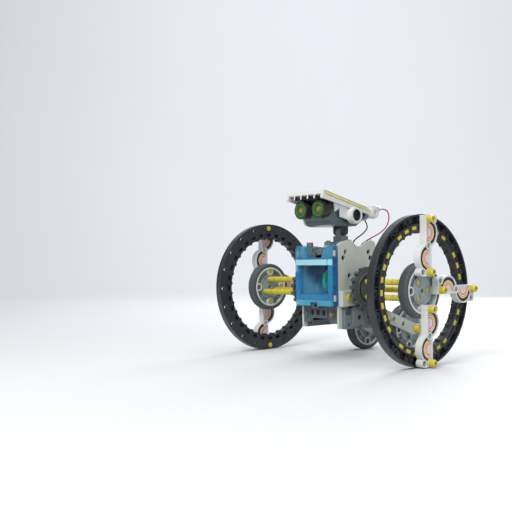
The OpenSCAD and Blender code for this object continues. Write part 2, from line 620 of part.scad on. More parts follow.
// socket block for the wires at the back of the panel
module connector() difference() {
    union() {
        bx(12.4, 21, 20.8, 26, 120.6, 126.6);
        slope_frame() bx(11.5, 22, 58.75, 65, -4.1, 1.4);
        slope_frame() xc(12.4, 22.6, 66, 0.6, 4.2);
        slope_frame() xc(14.4, 20.4, 66, 0.6, 5);
        slope_frame() yc(66, 73.4, 20, 6, 1.7);
        slope_frame() bx(17.6, 22, 61, 68, 1, 6);
        zc(119, 121, 14.6, 22.4, 1.6);
    }
    slope_frame() xc(21.6, 23, 66, 0.6, 2.2);
    slope_frame() yc(71.6, 75, 20, 6, 1.1);
    slope_frame() bx(13, 16, 59.6, 62, 0.4, 3);
    zc(118, 120.2, 14.6, 22.4, 1);
}
module wire_red() tube(smooth(red_path, 3), 0.6);
module wire_black() tube(smooth(black_path, 3), 0.6);

color(ivory) side_plate();  // side_plate_right
color(ivory) mirror([1, 0, 0]) side_plate(0.5);  // side_plate_left
color(ivory) core();
color(grey) top_deck();
color([0.2, 0.6, 0.85, 0.45]) front_cover();
color(grey) lower_frame();
color([0.7, 0.72, 0.74]) motor_can();
color(grey) motor_cap();
color([0.7, 0.72, 0.74]) idler_pin();
color([0.7, 0.55, 0.3]) frame_screws();
color(grey) tail_bracket();
color(grey) tail_plates();
color(ivory) tail_arm();  // tail_arm_right
color(ivory) mirror([1, 0, 0]) tail_arm();  // tail_arm_left
color([0.7, 0.72, 0.74]) tail_axle();
color(yellow) tail_pegs();
color(yellow) frame_pegs();
color(grey) neck_post();
color([0.7, 0.72, 0.74]) drive_axle();
color([0.3, 0.5, 0.75]) output_gear();
color(dark) drive_gear(1);  // drive_gear_right
color(dark) drive_gear(-1);  // drive_gear_left
color(yellow) rods(1);  // rods_right
color(yellow) rods(-1);  // rods_left
color(grey) hub_at(1);  // hub_right
color(grey) hub_at(-1);  // hub_left
color(dark) axle_frame(hub_x) tyre();  // tyre_right
color(dark) axle_frame(-hub_x) tyre();  // tyre_left
color(dark) axle_frame(track - ring_w) ring();  // ring_right
color(dark) mirror([1, 0, 0]) axle_frame(track - ring_w) ring();  // ring_left
color(yellow) axle_frame(track - ring_w) ring_blocks();  // ring_blocks_right
color(yellow) mirror([1, 0, 0]) axle_frame(track - ring_w) ring_blocks();  // ring_blocks_left
color(white) arm_at(1, 0);  // arm_right_top
color(white) arm_at(1, 270);  // arm_right_rear
color(white) arm_at(1, 180);  // arm_right_bottom
color(white) arm_at(-1, 0);  // arm_left_top
color(white) arm_at(-1, 270);  // arm_left_rear
color(white) arm_at(-1, 180);  // arm_left_bottom
color([0.8, 0.4, 0.2]) arm_discs(1);  // arm_discs_right
color([0.8, 0.4, 0.2]) arm_discs(-1);  // arm_discs_left
color(yellow) pegs(1);  // arm_pegs_right
color(yellow) pegs(-1);  // arm_pegs_left
color([0.1, 0.7, 0.3]) idler_gear();
color([0.7, 0.72, 0.74]) motor_pinion();
color(grey) translate([tail_x, tail_y, tyre_r]) rotate([90, 0, 90]) hub(30);  // tail_hub_right
color(dark) translate([tail_x, tail_y, tyre_r]) rotate([90, 0, 90]) tyre();  // tail_tyre_right
color(grey) translate([-tail_x, tail_y, tyre_r]) rotate([90, 0, 90]) hub(30);  // tail_hub_left
color(dark) translate([-tail_x, tail_y, tyre_r]) rotate([90, 0, 90]) tyre();  // tail_tyre_left
color([0.4, 0.45, 0.43]) head_shell();
color(white) visor();
color([0.85, 0.8, 0.5]) panel_board();
color([0.08, 0.1, 0.25]) solar_cells();
color(dark) eye_barrels();
color([0.3, 0.7, 0.25]) eye_lenses();
color([0.95, 0.6, 0.1]) eye_cores();
color(white) side_caps();
color(white) connector();
color(dark) neck_knuckle();
color([0.75, 0.1, 0.12]) wire_red();
color([0.15, 0.17, 0.22]) wire_black();
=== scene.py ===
"""Looks for the solar robot: camera, colours, materials, wires, printed discs, solar cells and studio."""
import math

import bmesh
import bpy
from mathutils import Matrix, Vector


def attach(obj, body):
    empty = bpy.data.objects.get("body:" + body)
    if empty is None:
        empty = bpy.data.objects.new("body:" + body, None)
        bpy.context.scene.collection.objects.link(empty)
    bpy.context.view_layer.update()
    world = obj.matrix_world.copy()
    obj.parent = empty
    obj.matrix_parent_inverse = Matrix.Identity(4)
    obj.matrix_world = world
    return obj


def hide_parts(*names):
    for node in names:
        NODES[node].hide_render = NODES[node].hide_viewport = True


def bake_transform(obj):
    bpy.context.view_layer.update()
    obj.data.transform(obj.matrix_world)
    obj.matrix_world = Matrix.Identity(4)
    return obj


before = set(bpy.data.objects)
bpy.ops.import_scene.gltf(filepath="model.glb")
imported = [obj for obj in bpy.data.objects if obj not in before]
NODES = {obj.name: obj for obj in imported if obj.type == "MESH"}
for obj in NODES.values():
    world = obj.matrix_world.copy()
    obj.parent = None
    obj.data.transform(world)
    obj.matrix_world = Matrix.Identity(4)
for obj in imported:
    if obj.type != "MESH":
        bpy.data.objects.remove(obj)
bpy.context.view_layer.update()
MM = 0.001

# places shared by several sections
SLOPE = math.radians(13.8)  # tilt of the head's panel
FRONT = Vector((0, -36 * MM, 141 * MM))  # middle of the panel's front edge
EYE_X, EYE_Z = 10.5 * MM, 127.8 * MM
AXLE_Y, AXLE_Z = 0.0, 60 * MM
TAIL_Y, TAIL_Z = 65 * MM, 22 * MM
CAP_Y, CAP_Z = 0.0, 122.8 * MM
BOSS_PCR = 14.5 * MM  # how far a wheel's bosses sit from its axle

# ---------------------------------------------------------------- camera
CAM_AT = (0.46655, -0.48884, 0.08579)
CAM_AZIMUTH, CAM_ELEVATION, CAM_ROLL = 49.58, -0.30, -0.78
CAM_LENS = 53.9


def make_camera():
    a, e, r = (math.radians(v) for v in (CAM_AZIMUTH, CAM_ELEVATION, CAM_ROLL))
    back = Vector((math.sin(a) * math.cos(e), -math.cos(a) * math.cos(e), math.sin(e)))
    right = Vector((math.cos(a), math.sin(a), 0))
    up = back.cross(right)
    right, up = right * math.cos(r) + up * math.sin(r), up * math.cos(r) - right * math.sin(r)
    data = bpy.data.cameras.new("camera")
    data.lens, data.sensor_width = CAM_LENS, 36
    data.clip_start, data.clip_end = 0.02, 20
    cam = bpy.data.objects.new("camera", data)
    bpy.context.collection.objects.link(cam)
    cam.matrix_world = Matrix((
        (right.x, up.x, back.x, CAM_AT[0]), (right.y, up.y, back.y, CAM_AT[1]),
        (right.z, up.z, back.z, CAM_AT[2]), (0, 0, 0, 1)))
    bpy.context.scene.camera = cam


# ---------------------------------------------------------------- colours
IVORY = (0.50, 0.53, 0.47)
WHITE = (0.60, 0.61, 0.60)
PALE_GREY = (0.40, 0.44, 0.45)
NECK_GREY = (0.27, 0.31, 0.32)
# painted shade: the two greys below darken the wheels' recessed discs and middles against their pale rims
SHADED_DISC_GREY = (0.20, 0.245, 0.245)
SHADED_HUB_GREY = (0.27, 0.31, 0.315)
RIM_GREY = (0.60, 0.62, 0.60)
BRACKET_GREY = (0.145, 0.175, 0.182)
MID_GREY = (0.12, 0.145, 0.155)
JAW_GREY = (0.080, 0.108, 0.115)
FRAME_GREY = (0.075, 0.092, 0.098)
# painted shade: the dark below darkens the jaw round the eyes
EYE_SHADE_DARK = (0.020, 0.021, 0.024)
CHARCOAL = (0.019, 0.023, 0.028)
# painted shade: the black below fills the side caps' wells and the visor's underside
PAINTED_SHADE_BLACK = (0.010, 0.011, 0.013)
# painted shade: the navy below darkens the inner frame seen through the cover
INTERIOR_SHADE_NAVY = (0.010, 0.028, 0.065)
YELLOW = (0.52, 0.43, 0.025)
DUST = (0.50, 0.49, 0.46)

COVER_BAR = (0.035, 0.25, 0.50)
COVER_WING = (0.08, 0.34, 0.52)
COVER_SIDE = (0.03, 0.12, 0.36)
COVER_LOW = (0.10, 0.46, 0.66)
# the shelf's pale colour below is partly its thicker plastic and partly a painted reflection
COVER_SHELF_THICK_AND_SHEEN = (0.36, 0.66, 0.74)
COVER_OUTLINE = (0.008, 0.05, 0.20)
# painted reflection and painted shade: the cover's window runs from the azure below (a reflection) to the
# deep blue (shade inside)
WINDOW_REFLECTION_AZURE = (0.05, 0.33, 0.60)
WINDOW_SHADE_DEEP = (0.012, 0.05, 0.13)

LENS_GREEN, LENS_LINE, LENS_RIM = (0.075, 0.20, 0.035), (0.02, 0.06, 0.015), (0.02, 0.05, 0.015)
# painted glint: the amber below stands for the glint in the middle of each eye
CORE_GLINT_AMBER, CORE_OLIVE, CORE_GREEN = (0.42, 0.20, 0.05), (0.15, 0.13, 0.045), (0.04, 0.12, 0.025)

# printed arcs, from the middle of a disc outwards
PRINT_COLOURS = [(0.66, 0.52, 0.50), (0.46, 0.035, 0.03), (0.74, 0.68, 0.60), (0.72, 0.24, 0.025),
                 (0.76, 0.66, 0.36), (0.012, 0.012, 0.014)]


# ---------------------------------------------------------------- node helpers
class Graph:
    """A small wrapper that keeps material code short."""

    def __init__(self, name):
        self.mat = bpy.data.materials.new(name)
        self.mat.use_nodes = True
        self.tree = self.mat.node_tree
        self.tree.nodes.clear()
        self.out = self.new("ShaderNodeOutputMaterial")
        self.bsdf = self.new("ShaderNodeBsdfPrincipled")
        self.link(self.bsdf.outputs[0], self.out.inputs[0])
        self.place = self.new("ShaderNodeTexCoord").outputs["Object"]

    def new(self, kind, **values):
        node = self.tree.nodes.new(kind)
        for k, v in values.items():
            setattr(node, k, v)
        return node

    def link(self, a, b):
        self.tree.links.new(a, b)

    def put(self, value, socket):
        if isinstance(value, bpy.types.NodeSocket):
            self.link(value, socket)
        else:
            socket.default_value = value

    def noise(self, scale, detail=3.0, rough=0.55, warp=0.0):
        n = self.new("ShaderNodeTexNoise")
        n.inputs["Scale"].default_value = scale
        n.inputs["Detail"].default_value = detail
        n.inputs["Roughness"].default_value = rough
        n.inputs["Distortion"].default_value = warp
        self.link(self.place, n.inputs["Vector"])
        return n.outputs["Fac"]

    def fit(self, value, a, b, c, d, smooth=False):
        n = self.new("ShaderNodeMapRange", interpolation_type="SMOOTHSTEP" if smooth else "LINEAR")
        for i, v in enumerate((value, a, b, c, d)):
            self.put(v, n.inputs[i])
        return n.outputs[0]

    def above(self, value, at, soft, smooth=False):
        """0 below a place given in mm, 1 above it, blended over soft mm on each side."""
        return self.fit(value, (at - soft) * MM, (at + soft) * MM, 0, 1, smooth)

    def below(self, value, at, soft, smooth=False):
        return self.fit(value, (at - soft) * MM, (at + soft) * MM, 1, 0, smooth)

    def band(self, value, low, high, soft):
        return self.times(self.above(value, low, soft), self.below(value, high, soft))

    def math(self, op, a, b=0.0, c=0.0):
        n = self.new("ShaderNodeMath", operation=op)
        for i, v in enumerate((a, b, c)):
            self.put(v, n.inputs[i])
        return n.outputs[0]

    def times(self, a, b):
        return self.math("MULTIPLY", a, b)

    def length(self, a, b):
        return self.math("SQRT", self.math("ADD", self.times(a, a), self.times(b, b)))

    def mix(self, fac, a, b, blend="MIX"):
        n = self.new("ShaderNodeMix", data_type="RGBA", blend_type=blend)
        self.put(fac, n.inputs[0])
        for i, v in ((6, a), (7, b)):
            self.put(v if isinstance(v, bpy.types.NodeSocket) else (*v, 1.0), n.inputs[i])
        return n.outputs[2]

    def xyz(self):
        n = self.new("ShaderNodeSeparateXYZ")
        self.link(self.place, n.inputs[0])
        return n.outputs[0], n.outputs[1], n.outputs[2]

    def radius(self, cy, cz):
        """Distance from an axis along X through (cy, cz), and the two offsets."""
        _, y, z = self.xyz()
        dy, dz = self.math("SUBTRACT", y, cy), self.math("SUBTRACT", z, cz)
        return self.length(dy, dz), dy, dz

    def round_normal(self, size):
        n = self.new("ShaderNodeBevel", samples=4)
        n.inputs["Radius"].default_value = size
        return n.outputs[0]

    def edge(self, soft):
        """1 along the edges of a part, 0 on its flats."""
        g = self.new("ShaderNodeNewGeometry").outputs["Normal"]
        n = self.new("ShaderNodeVectorMath", operation="DOT_PRODUCT")
        self.link(g, n.inputs[0])
        self.link(soft, n.inputs[1])
        return self.fit(n.outputs["Value"], 0.995, 0.86, 0.0, 1.0)

    def up(self):
        g = self.new("ShaderNodeNewGeometry").outputs["Normal"]
        n = self.new("ShaderNodeSeparateXYZ")
        self.link(g, n.inputs[0])
        return n.outputs[2]


# ---------------------------------------------------------------- moulded plastic
def shade(c, k):
    return tuple(min(1.0, v * k) for v in c)


def moulded(name, colour, rough=0.42, round_mm=0.35, wear=0.30, vary=0.10, grain=0.10, coat=0.0, tint=None):
    """Injection-moulded plastic: slight mottling, flow marks, satin grain, softened and rubbed edges."""
    g = Graph(name)
    base = tint(g) if tint else None
    dark = g.mix(1.0, base, (1 - vary,) * 3, "MULTIPLY") if base else shade(colour, 1 - vary)
    light = g.mix(1.0, base, (1 + vary * 0.6,) * 3, "MULTIPLY") if base else shade(colour, 1 + vary * 0.6)
    flow = g.fit(g.noise(55, 4, 0.6, 0.6), 0.30, 0.70, 0.0, 1.0)
    col = g.mix(flow, dark, light)
    fine = g.fit(g.noise(900, 2), 0.35, 0.65, 0.0, 1.0)
    col = g.mix(g.times(fine, 0.10), col, shade(colour, 0.72))
    soft = g.round_normal(round_mm * MM)
    rub = g.times(g.edge(soft), g.fit(g.noise(160, 4, 0.65), 0.40, 0.62, 0.15, 1.0))
    worn = tuple(min(1.0, v * 1.25 + 0.10) for v in colour)
    col = g.mix(g.times(rub, wear), col, worn)
    specks = g.fit(g.noise(260, 5, 0.7), 0.45, 0.75, 0.0, 0.16)
    dust = g.times(g.fit(g.up(), 0.55, 1.0, 0.0, 1.0), specks)
    col = g.mix(dust, col, DUST)
    g.link(col, g.bsdf.inputs["Base Color"])
    r = g.fit(g.noise(120, 4, 0.6), 0.30, 0.70, rough - 0.07, rough + 0.09)
    g.link(g.math("ADD", r, g.times(rub, 0.10)), g.bsdf.inputs["Roughness"])
    b = g.new("ShaderNodeBump")
    b.inputs["Strength"].default_value = grain
    b.inputs["Distance"].default_value = 0.00012
    tex = g.math("ADD", g.noise(3200, 2), g.times(g.noise(420, 2), 0.6))
    g.link(tex, b.inputs["Height"])
    g.link(soft, b.inputs["Normal"])
    g.link(b.outputs[0], g.bsdf.inputs["Normal"])
    g.bsdf.inputs["IOR"].default_value = 1.52
    if coat:
        g.bsdf.inputs["Coat Weight"].default_value = coat
        g.bsdf.inputs["Coat Roughness"].default_value = 0.12
    return g.mat


# ---------------------------------------------------------------- colour by place
def hub_tint(cy, cz):
    """Grey wheel disc, which is painted shade in the recess, with a pale rim, pale boss rings and a slightly
    paler middle.
    """
    def build(g):
        r, dy, dz = g.radius(cy, cz)
        ay, az = g.math("ABSOLUTE", dy), g.math("ABSOLUTE", dz)

        def from_boss(a, b):
            return g.length(g.math("SUBTRACT", a, BOSS_PCR), b)

        boss = g.math("MINIMUM", from_boss(ay, az), from_boss(az, ay))
        ring = g.band(boss, 2.55, 3.8, 0.05)
        edge = g.above(r, 16.875, 0.075)
        # painted shade: the disc inside the rim is darkened, a little less in the middle
        col = g.mix(g.below(r, 11.6, 0.1), SHADED_DISC_GREY, SHADED_HUB_GREY)
        return g.mix(g.math("MAXIMUM", edge, ring), col, RIM_GREY)
    return build


def cap_tint(g):
    """White side cap whose well is painted black as shade."""
    r, _, _ = g.radius(CAP_Y, CAP_Z)
    x, _, _ = g.xyz()
    # painted shade: the well inside the cap's hole is painted near black
    deep = g.below(g.math("ABSOLUTE", x), 25.5, 0.2)
    return g.mix(g.times(deep, g.below(r, 5.075, 0.075)), WHITE, PAINTED_SHADE_BLACK)


def visor_tint(g):
    """White visor whose comb slots and underside are painted black as shade."""
    x, y, z = g.xyz()
    dy, dz = g.math("SUBTRACT", y, FRONT.y), g.math("SUBTRACT", z, FRONT.z)
    c, s = math.cos(SLOPE), math.sin(SLOPE)
    along = g.math("SUBTRACT", g.times(dy, c), g.times(dz, s))
    over = g.math("ADD", g.times(dy, s), g.times(dz, c))
    inside = g.below(g.math("ABSOLUTE", x), 18.7, 0.05)
    under = g.below(over, -1.175, 0.175)
    back = g.above(along, -0.1, 0.2)
    # painted shade: black under the visor and in its comb slots
    return g.mix(g.times(inside, g.times(under, back)), WHITE, PAINTED_SHADE_BLACK)


def jaw_tint(g):
    """Grey jaw with painted shade round the eyes, and a pale painted highlight on the lip at its far end."""
    x, y, z = g.xyz()
    # painted shade: the jaw's front is darkened round the eyes
    socket = g.times(g.below(y, -21.5, 1.0), g.above(z, 123.05, 1.45, True))
    # painted highlight: a pale patch on the lower corner at the jaw's far end
    lip_highlight = g.times(g.below(x, -15.2, 0.2), g.below(y, -17.0, 0.2))
    lip_highlight = g.times(lip_highlight, g.below(z, 123.0, 0.2))
    return g.mix(lip_highlight, g.mix(socket, JAW_GREY, EYE_SHADE_DARK), WHITE)


def cover_look(g):
    """Blue cover: pale shelf (partly painted reflection), azure bars, deep blue sides, and a window painted
    from an azure reflection into deep blue shade. Returns its colour and its alpha.
    """
    x, y, z = g.xyz()
    ax = g.math("ABSOLUTE", x)
    front = g.below(y, -26.7, 0.3)
    window = g.times(g.below(ax, 15.9, 0.3), g.band(z, 56.5, 80.1, 0.3))
    shelf = g.times(g.band(z, 80.6, 85.7, 0.3), front)
    low = g.times(g.below(z, 50.9, 0.3), front)
    sides = g.times(g.above(ax, 21.8, 0.1), g.above(y, -26.0, 0.2))
    wings = g.above(z, 87.0, 1.0, True)
    # painted reflection at the window's lower left, fading into painted shade at its upper right
    deep = g.above(g.math("MULTIPLY_ADD", x, 0.5, z), 66.0, 9.0, True)
    col = g.mix(wings, COVER_BAR, COVER_WING)
    col = g.mix(window, col, g.mix(deep, WINDOW_REFLECTION_AZURE, WINDOW_SHADE_DEEP))
    col = g.mix(sides, col, COVER_SIDE)
    col = g.mix(low, col, COVER_LOW)
    # the shelf's paleness is partly thicker plastic and partly painted reflection
    col = g.mix(shelf, col, COVER_SHELF_THICK_AND_SHEEN)
    alpha = g.math("SUBTRACT", g.math("MULTIPLY_ADD", window, -0.30, 0.56), g.times(wings, 0.14))
    return col, g.math("MAXIMUM", alpha, g.times(shelf, 0.85))


def eye_radius(g):
    """Distance from the nearer eye's axis."""
    x, _, z = g.xyz()
    return g.length(g.math("SUBTRACT", g.math("ABSOLUTE", x), EYE_X), g.math("SUBTRACT", z, EYE_Z))


def lens_tint(g):
    """Green reflector with fine dark rings and a dark rim."""
    r = eye_radius(g)
    ripple = g.fit(g.math("SINE", g.times(r, 9000.0)), -1, 1, 0.0, 0.35)
    return g.mix(g.above(r, 6.1, 0.2), g.mix(ripple, LENS_GREEN, LENS_LINE), LENS_RIM)


def core_tint(g):
    """Amber middle painted as a glint, then olive, with a dark green surround."""
    r = eye_radius(g)
    col = g.mix(g.above(r, 1.1, 0.6, True), CORE_GLINT_AMBER, CORE_OLIVE)
    return g.mix(g.above(r, 2.6, 0.6, True), col, CORE_GREEN)


def frame_tint(g):
    """Inner frame: navy painted as the shade behind the cover, grey on its rear wall."""
    _, y, _ = g.xyz()
    # painted shade: navy on the inner frame behind the cover
    return g.mix(g.above(y, 15.5, 0.5), INTERIOR_SHADE_NAVY, FRAME_GREY)


# ---------------------------------------------------------------- other finishes
def rubber(name, colour):
    g = Graph(name)
    soft = g.round_normal(0.4 * MM)
    flow = g.fit(g.noise(70, 4, 0.65), 0.3, 0.7, 0.0, 1.0)
    col = g.mix(flow, shade(colour, 0.82), shade(colour, 1.18))
    rub = g.times(g.edge(soft), g.fit(g.noise(210, 4, 0.7), 0.42, 0.62, 0.1, 0.6))
    col = g.mix(rub, col, tuple(v * 1.3 + 0.05 for v in colour))
    g.link(col, g.bsdf.inputs["Base Color"])
    g.link(g.fit(g.noise(300, 3), 0.3, 0.7, 0.52, 0.72), g.bsdf.inputs["Roughness"])
    b = g.new("ShaderNodeBump")
    b.inputs["Strength"].default_value = 0.22
    b.inputs["Distance"].default_value = 0.00015
    g.link(g.noise(2600, 3), b.inputs["Height"])
    g.link(soft, b.inputs["Normal"])
    g.link(b.outputs[0], g.bsdf.inputs["Normal"])
    g.bsdf.inputs["Sheen Weight"].default_value = 0.12
    return g.mat


def metal(name, colour, rough=0.28):
    g = Graph(name)
    soft = g.round_normal(0.2 * MM)
    streak = g.new("ShaderNodeTexNoise")
    stretch = g.new("ShaderNodeMapping")
    stretch.inputs["Scale"].default_value = (1.0, 14.0, 14.0)
    g.link(g.place, stretch.inputs["Vector"])
    g.link(stretch.outputs[0], streak.inputs["Vector"])
    streak.inputs["Scale"].default_value = 180
    streak.inputs["Detail"].default_value = 4
    f = g.fit(streak.outputs["Fac"], 0.3, 0.7, 0.0, 1.0)
    g.link(g.mix(f, shade(colour, 0.86), shade(colour, 1.06)), g.bsdf.inputs["Base Color"])
    g.link(g.fit(streak.outputs["Fac"], 0.3, 0.7, rough - 0.06, rough + 0.14), g.bsdf.inputs["Roughness"])
    g.bsdf.inputs["Metallic"].default_value = 1.0
    b = g.new("ShaderNodeBump")
    b.inputs["Strength"].default_value = 0.10
    b.inputs["Distance"].default_value = 0.00008
    g.link(streak.outputs["Fac"], b.inputs["Height"])
    g.link(soft, b.inputs["Normal"])
    g.link(b.outputs[0], g.bsdf.inputs["Normal"])
    return g.mat


def clear(name, tint, rough, through, round_mm, outline=None):
    """Transparent moulded plastic with faint ripples and scuffs. A tint may also return its alpha."""
    g = Graph(name)
    soft = g.round_normal(round_mm * MM)
    flow = g.fit(g.noise(60, 3, 0.6), 0.3, 0.7, 0.0, 1.0)
    base = tint(g)
    base, alpha = base if isinstance(base, tuple) else (base, None)
    col = g.mix(flow, g.mix(1.0, base, (0.94,) * 3, "MULTIPLY"), g.mix(1.0, base, (1.04,) * 3, "MULTIPLY"))
    if outline:
        line = g.times(g.edge(soft), 0.75)
        col = g.mix(line, col, outline)
        alpha = g.math("MULTIPLY_ADD", line, 0.3, alpha)
    g.link(col, g.bsdf.inputs["Base Color"])
    g.link(g.fit(g.noise(240, 5, 0.7), 0.45, 0.75, rough, rough + 0.12), g.bsdf.inputs["Roughness"])
    g.bsdf.inputs["Transmission Weight"].default_value = through
    if alpha:
        g.link(g.math("MINIMUM", alpha, 1.0), g.bsdf.inputs["Alpha"])
    g.bsdf.inputs["IOR"].default_value = 1.45
    b = g.new("ShaderNodeBump")
    b.inputs["Strength"].default_value = 0.02
    b.inputs["Distance"].default_value = 0.0003
    g.link(g.noise(95, 2), b.inputs["Height"])
    g.link(soft, b.inputs["Normal"])
    g.link(b.outputs[0], g.bsdf.inputs["Normal"])
    return g.mat


def printed(name, colour):
    """Glossy printed film with a faint dot grain."""
    g = Graph(name)
    dots = g.fit(g.noise(2400, 2), 0.4, 0.6, 0.0, 1.0)
    g.link(g.mix(dots, shade(colour, 0.93), shade(colour, 1.05)), g.bsdf.inputs["Base Color"])
    g.link(g.fit(g.noise(300, 3), 0.3, 0.7, 0.24, 0.40), g.bsdf.inputs["Roughness"])
    b = g.new("ShaderNodeBump")
    b.inputs["Strength"].default_value = 0.05
    b.inputs["Distance"].default_value = 0.0001
    g.link(g.noise(500, 2), b.inputs["Height"])
    g.link(b.outputs[0], g.bsdf.inputs["Normal"])
    return g.mat


def cell_film():
    """Dark blue solar cells with crystal patches under a clear coat."""
    g = Graph("solar_cell_film")
    v = g.new("ShaderNodeTexVoronoi")
    v.inputs["Scale"].default_value = 240
    g.link(g.place, v.inputs["Vector"])
    s = g.new("ShaderNodeSeparateColor")
    g.link(v.outputs["Color"], s.inputs[0])
    col = g.mix(s.outputs[0], (0.010, 0.016, 0.060), (0.022, 0.034, 0.115))
    col = g.mix(g.fit(g.noise(40, 3), 0.3, 0.7, 0.0, 0.5), col, (0.012, 0.012, 0.040))
    g.link(col, g.bsdf.inputs["Base Color"])
    g.link(g.fit(g.noise(200, 4), 0.3, 0.7, 0.16, 0.28), g.bsdf.inputs["Roughness"])
    g.bsdf.inputs["Coat Weight"].default_value = 1.0
    g.bsdf.inputs["Coat Roughness"].default_value = 0.04
    b = g.new("ShaderNodeBump")
    b.inputs["Strength"].default_value = 0.04
    b.inputs["Distance"].default_value = 0.0002
    g.link(g.noise(150, 2), b.inputs["Height"])
    g.link(b.outputs[0], g.bsdf.inputs["Normal"])
    return g.mat


# ---------------------------------------------------------------- material list
def make_materials():
    m = {
        "ivory": moulded("ivory_plastic", IVORY, 0.44, vary=0.06, wear=0.15),
        "white": moulded("white_plastic", WHITE, 0.40, vary=0.05, wear=0.10),
        "visor": moulded("visor_plastic", WHITE, 0.38, vary=0.05, wear=0.08, tint=visor_tint),
        "cap": moulded("cap_plastic", WHITE, 0.38, vary=0.04, wear=0.08, tint=cap_tint),
        "frame": moulded("dark_frame_plastic", FRAME_GREY, 0.42, wear=0.35),
        "core": moulded("inner_frame_plastic", FRAME_GREY, 0.45, tint=frame_tint),
        "pale": moulded("pale_grey_plastic", PALE_GREY, 0.42, vary=0.07, wear=0.2),
        "grey": moulded("grey_plastic", MID_GREY, 0.40, wear=0.35),
        "bracket": moulded("bracket_plastic", BRACKET_GREY, 0.42, wear=0.30),
        "neck": moulded("neck_plastic", NECK_GREY, 0.40, wear=0.25),
        "ring": moulded("ring_plastic", CHARCOAL, 0.34, wear=0.22, grain=0.14, round_mm=0.3),
        "gear": moulded("drive_gear_plastic", (0.050, 0.062, 0.062), 0.42, wear=0.30, round_mm=0.5),
        "yellow": moulded("yellow_plastic", YELLOW, 0.38, vary=0.10, wear=0.25, round_mm=0.3),
        # painted light: the idler gear's green is made brighter to make up for the shade of the core walls
        # round it
        "green": moulded("green_plastic_lightened", (0.02, 0.86, 0.42), 0.34, vary=0.06, wear=0.1, round_mm=0.15),
        "blue": moulded("blue_plastic", (0.04, 0.20, 0.50), 0.34, vary=0.08, wear=0.3, round_mm=0.15),
        "jaw": moulded("jaw_plastic", JAW_GREY, 0.33, wear=0.25, round_mm=0.8, coat=0.3, tint=jaw_tint),
        "black": moulded("barrel_plastic", (0.030, 0.023, 0.026), 0.28, wear=0.30, round_mm=0.25, coat=0.4),
        "board": moulded("panel_board_laminate", (0.66, 0.60, 0.24), 0.38, vary=0.08, wear=0.15,
                         round_mm=0.15),
        "knuckle": moulded("knuckle_plastic", (0.050, 0.065, 0.066), 0.38, wear=0.4),
        "steel": metal("bright_steel", (0.60, 0.61, 0.63)),
        "can": metal("motor_steel", (0.16, 0.17, 0.19), 0.34),
        "brass": metal("brass_screw", (0.42, 0.29, 0.12), 0.30),
        "rubber": rubber("tyre_rubber", (0.045, 0.056, 0.060)),
        "cover": clear("clear_blue_plastic", cover_look, 0.05, 0.0, 0.5, COVER_OUTLINE),
        "lens_green": clear("green_lens", lens_tint, 0.12, 0.20, 0.3),
        "lens_orange": clear("orange_lens", core_tint, 0.12, 0.10, 0.3),
        "cells": cell_film(),
        "tin": metal("tinned_strip", (0.70, 0.72, 0.74), 0.22),
    }
    for name, colour in (("red", (0.38, 0.03, 0.055)), ("black", (0.030, 0.035, 0.060))):
        m[f"wire_{name}"] = moulded(f"{name}_wire_sheath", colour, 0.34, wear=0.0, grain=0.05, round_mm=0.05)
    for i, c in enumerate(PRINT_COLOURS):
        m[f"print_{i}"] = printed(f"printed_film_{i}", c)
    for key, name, cy, cz in (("hub", "wheel_plastic", AXLE_Y, AXLE_Z),
                              ("tail_hub", "tail_wheel_plastic", TAIL_Y, TAIL_Z)):
        m[key] = moulded(name, SHADED_DISC_GREY, 0.40, vary=0.08, wear=0.2, tint=hub_tint(cy, cz))
    return m


FINISH = {
    "ivory": ["side_plate_right", "side_plate_left", "tail_arm_right", "tail_arm_left"],
    "core": ["core"],
    "grey": ["top_deck", "motor_cap"],
    "frame": ["lower_frame"],
    "bracket": ["tail_bracket"],
    "neck": ["neck_post"],
    "visor": ["visor"],
    "cap": ["side_caps"],
    "cover": ["front_cover"],
    "steel": ["idler_pin", "tail_axle", "drive_axle", "motor_pinion"],
    "can": ["motor_can"],
    "brass": ["frame_screws"],
    "pale": ["tail_plates"],
    "yellow": ["tail_pegs", "frame_pegs", "rods_right", "rods_left", "arm_pegs_right", "arm_pegs_left",
               "ring_blocks_right", "ring_blocks_left"],
    "blue": ["output_gear"],
    "green": ["idler_gear"],
    "gear": ["drive_gear_right", "drive_gear_left"],
    "hub": ["hub_right", "hub_left"],
    "tail_hub": ["tail_hub_right", "tail_hub_left"],
    "rubber": ["tyre_right", "tyre_left", "tail_tyre_right", "tail_tyre_left"],
    "ring": ["ring_right", "ring_left"],
    "white": ["arm_right_top", "arm_right_rear", "arm_right_bottom", "arm_left_top", "arm_left_rear",
              "arm_left_bottom", "connector"],
    "jaw": ["head_shell"],
    "board": ["panel_board"],
    "cells": ["solar_cells"],
    "black": ["eye_barrels"],
    "lens_green": ["eye_lenses"],
    "lens_orange": ["eye_cores"],
    "knuckle": ["neck_knuckle"],
}


def paint(mats):
    for key, names in FINISH.items():
        for n in names:
            slots = NODES[n].material_slots
            if len(slots) == 0:
                NODES[n].data.materials.append(mats[key])
            for s in slots:
                s.material = mats[key]


# ---------------------------------------------------------------- mesh helpers
def make_object(name, verts, faces, mats, index=None, smooth=False):
    mesh = bpy.data.meshes.new(name)
    mesh.from_pydata([tuple(v) for v in verts], [], faces)
    for m in mats:
        mesh.materials.append(m)
    if index:
        for p, i in zip(mesh.polygons, index):
            p.material_index = i
    for p in mesh.polygons:
        p.use_smooth = smooth
    mesh.validate()
    mesh.update()
    o = bpy.data.objects.new(name, mesh)
    bpy.context.collection.objects.link(o)
    return o


